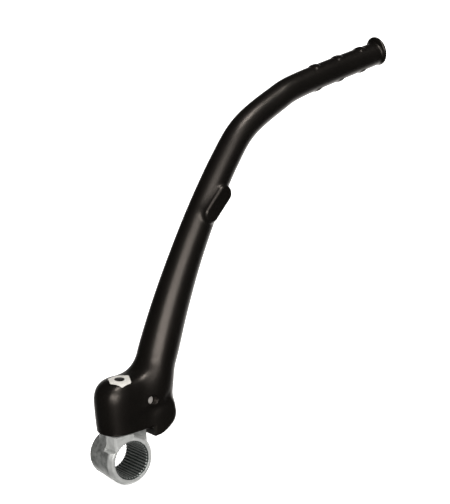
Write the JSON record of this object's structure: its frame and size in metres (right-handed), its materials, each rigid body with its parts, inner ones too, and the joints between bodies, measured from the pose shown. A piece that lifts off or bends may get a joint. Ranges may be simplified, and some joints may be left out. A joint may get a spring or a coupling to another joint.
{
  "type": "motorcycle kick-start lever",
  "caption": "Folding kick-start lever: serrated steel knuckle with pivot post, curved forged lever with side pad, stop lobe and ribbed pedal, ball detent inside the hub.",
  "frame": {"origin": "on the kick shaft's axis, midway along the serrated bore", "axes": "+Y along the kick shaft towards the engine, +Z along the upright swing axis, +X the way the folded pedal points"},
  "size_m": [0.2238, 0.0288, 0.2337],
  "materials": {
    "plated_steel": "zinc-grey plated steel, fine cast texture, machined on the bore, block and table",
    "black_anodised": "satin black anodised forging",
    "bronze": "sintered bronze, oiled",
    "seal_rubber": "nitrile rubber",
    "hard_steel": "ground spring steel",
    "bright_steel": "bright turned steel",
    "ball_steel": "polished bearing ball"
  },
  "bodies": {
    "knuckle_side": {"knuckle": "plated_steel"},
    "lever": {"lever_arm": "black_anodised", "lower_bush": "bronze", "upper_bush": "bronze", "dust_seal": "seal_rubber", "thrust_disc": "hard_steel", "retaining_pin": "bright_steel"},
    "detent": {"detent_ball": "ball_steel", "detent_spring": "hard_steel"}
  },
  "joints": [
    {"name": "lever_swing", "type": "hinge", "parent": "knuckle_side", "child": "lever", "pos_m": [0.002, 0, 0.0156], "axis": [0, 0, -1], "range_deg": [0, 105]},
    {"name": "ball_drop", "type": "slide", "parent": "lever", "child": "detent", "axis": [0, 0, -1], "range_m": [0, 0.00045], "stiffness_N_per_m": 3000, "springref_m": 0.003, "deforming": ["detent_spring"]}
  ]
}
